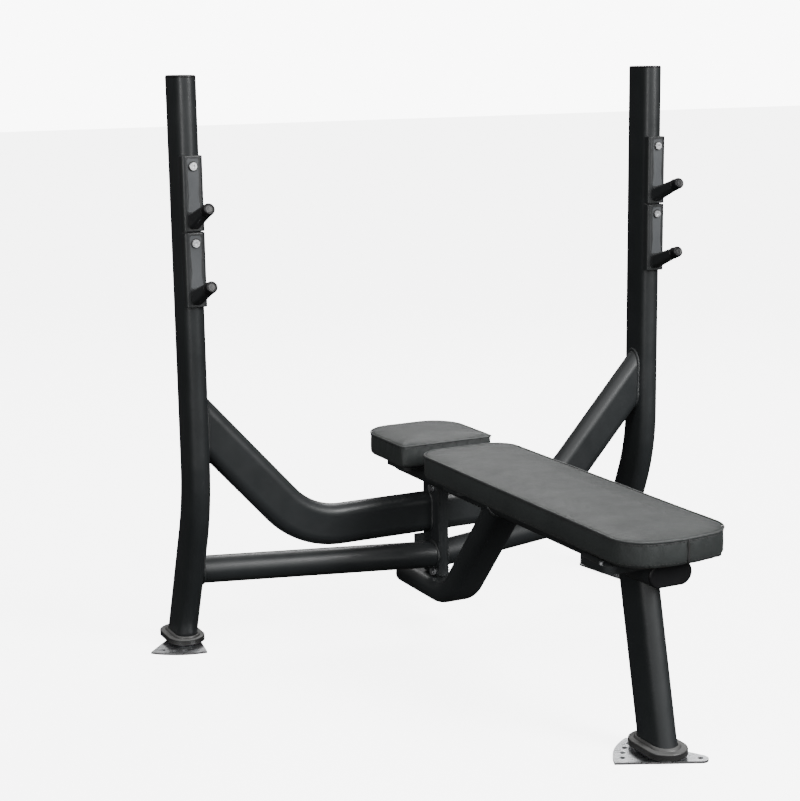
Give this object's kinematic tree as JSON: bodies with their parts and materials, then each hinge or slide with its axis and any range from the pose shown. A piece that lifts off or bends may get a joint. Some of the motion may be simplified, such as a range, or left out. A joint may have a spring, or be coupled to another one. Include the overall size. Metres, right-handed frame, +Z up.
{
  "type": "olympic bench press",
  "caption": "Flat weight bench joined to a barbell rack of bent oval tubes, with padded boards, hooked bar rests and swivelling floor anchor plates.",
  "frame": {"origin": "centre of the bounding box at floor level", "axes": "+X across the rack, +Y from the foot end of the bench to its head end, +Z up"},
  "size_m": [1.4014, 1.2724, 1.334],
  "materials": {
    "frame_paint": "satin powder coat, fine orange peel",
    "hook_casting": "satin black paint over a casting",
    "bar_guard": "moulded wear insert",
    "cap_plastic": "moulded end caps",
    "foot_collar": "moulded collar",
    "pad_vinyl": "grained black vinyl",
    "pad_board": "stained plywood",
    "zinc": "bright zinc plate",
    "seal_rubber": "dark washer ring"
  },
  "bodies": {
    "frame": {"bench_center_plate": "frame_paint", "bench_rail": "frame_paint", "cross_gusset": "frame_paint", "front_foot_collar": "foot_collar", "front_foot_plate": "frame_paint", "front_leg": "frame_paint", "front_pad_plate": "frame_paint", "front_swivel_screw": "zinc", "head_pad": "pad_vinyl", "head_pad_board": "pad_board", "head_pad_plate": "frame_paint", "hook_knobs": "cap_plastic", "hook_screw_rings": "seal_rubber", "hook_screws": "zinc", "joint_bolts": "zinc", "joint_nuts": "zinc", "joint_washers": "zinc", "left_flange_plate": "frame_paint", "left_foot_collar": "foot_collar", "left_foot_plate": "frame_paint", "left_lower_hook": "hook_casting", "left_lower_hook_guard": "bar_guard", "left_swivel_screw": "zinc", "left_upper_hook": "hook_casting", "left_upper_hook_guard": "bar_guard", "left_upright": "frame_paint", "left_upright_cap": "cap_plastic", "lower_cross_left": "frame_paint", "lower_cross_right": "frame_paint", "main_pad": "pad_vinyl", "main_pad_board": "pad_board", "pad_bolts": "zinc", "pad_side_screws": "zinc", "rail_front_cap": "cap_plastic", "rail_rear_cap": "cap_plastic", "rear_pad_plate": "frame_paint", "right_flange_plate": "frame_paint", "right_foot_collar": "foot_collar", "right_foot_plate": "frame_paint", "right_lower_hook": "hook_casting", "right_lower_hook_guard": "bar_guard", "right_swivel_screw": "zinc", "right_upper_hook": "hook_casting", "right_upper_hook_guard": "bar_guard", "right_upright": "frame_paint", "right_upright_cap": "cap_plastic", "spine_rear_cap": "cap_plastic", "spine_tube": "frame_paint", "upper_cross_left": "frame_paint", "upper_cross_right": "frame_paint"},
    "left_anchor": {"left_anchor_plate": "zinc"},
    "right_anchor": {"right_anchor_plate": "zinc"},
    "front_anchor": {"front_anchor_plate": "zinc"}
  },
  "joints": [
    {"name": "left_anchor_swivel", "type": "hinge", "parent": "frame", "child": "left_anchor", "pos_m": [-0.6056, 0.55099, 0], "axis": [0, 0, 1], "continuous": true},
    {"name": "right_anchor_swivel", "type": "hinge", "parent": "frame", "child": "right_anchor", "pos_m": [0.6056, 0.55099, 0], "axis": [0, 0, 1], "continuous": true},
    {"name": "front_anchor_swivel", "type": "hinge", "parent": "frame", "child": "front_anchor", "pos_m": [0, -0.55901, 0], "axis": [0, 0, 1], "continuous": true}
  ]
}
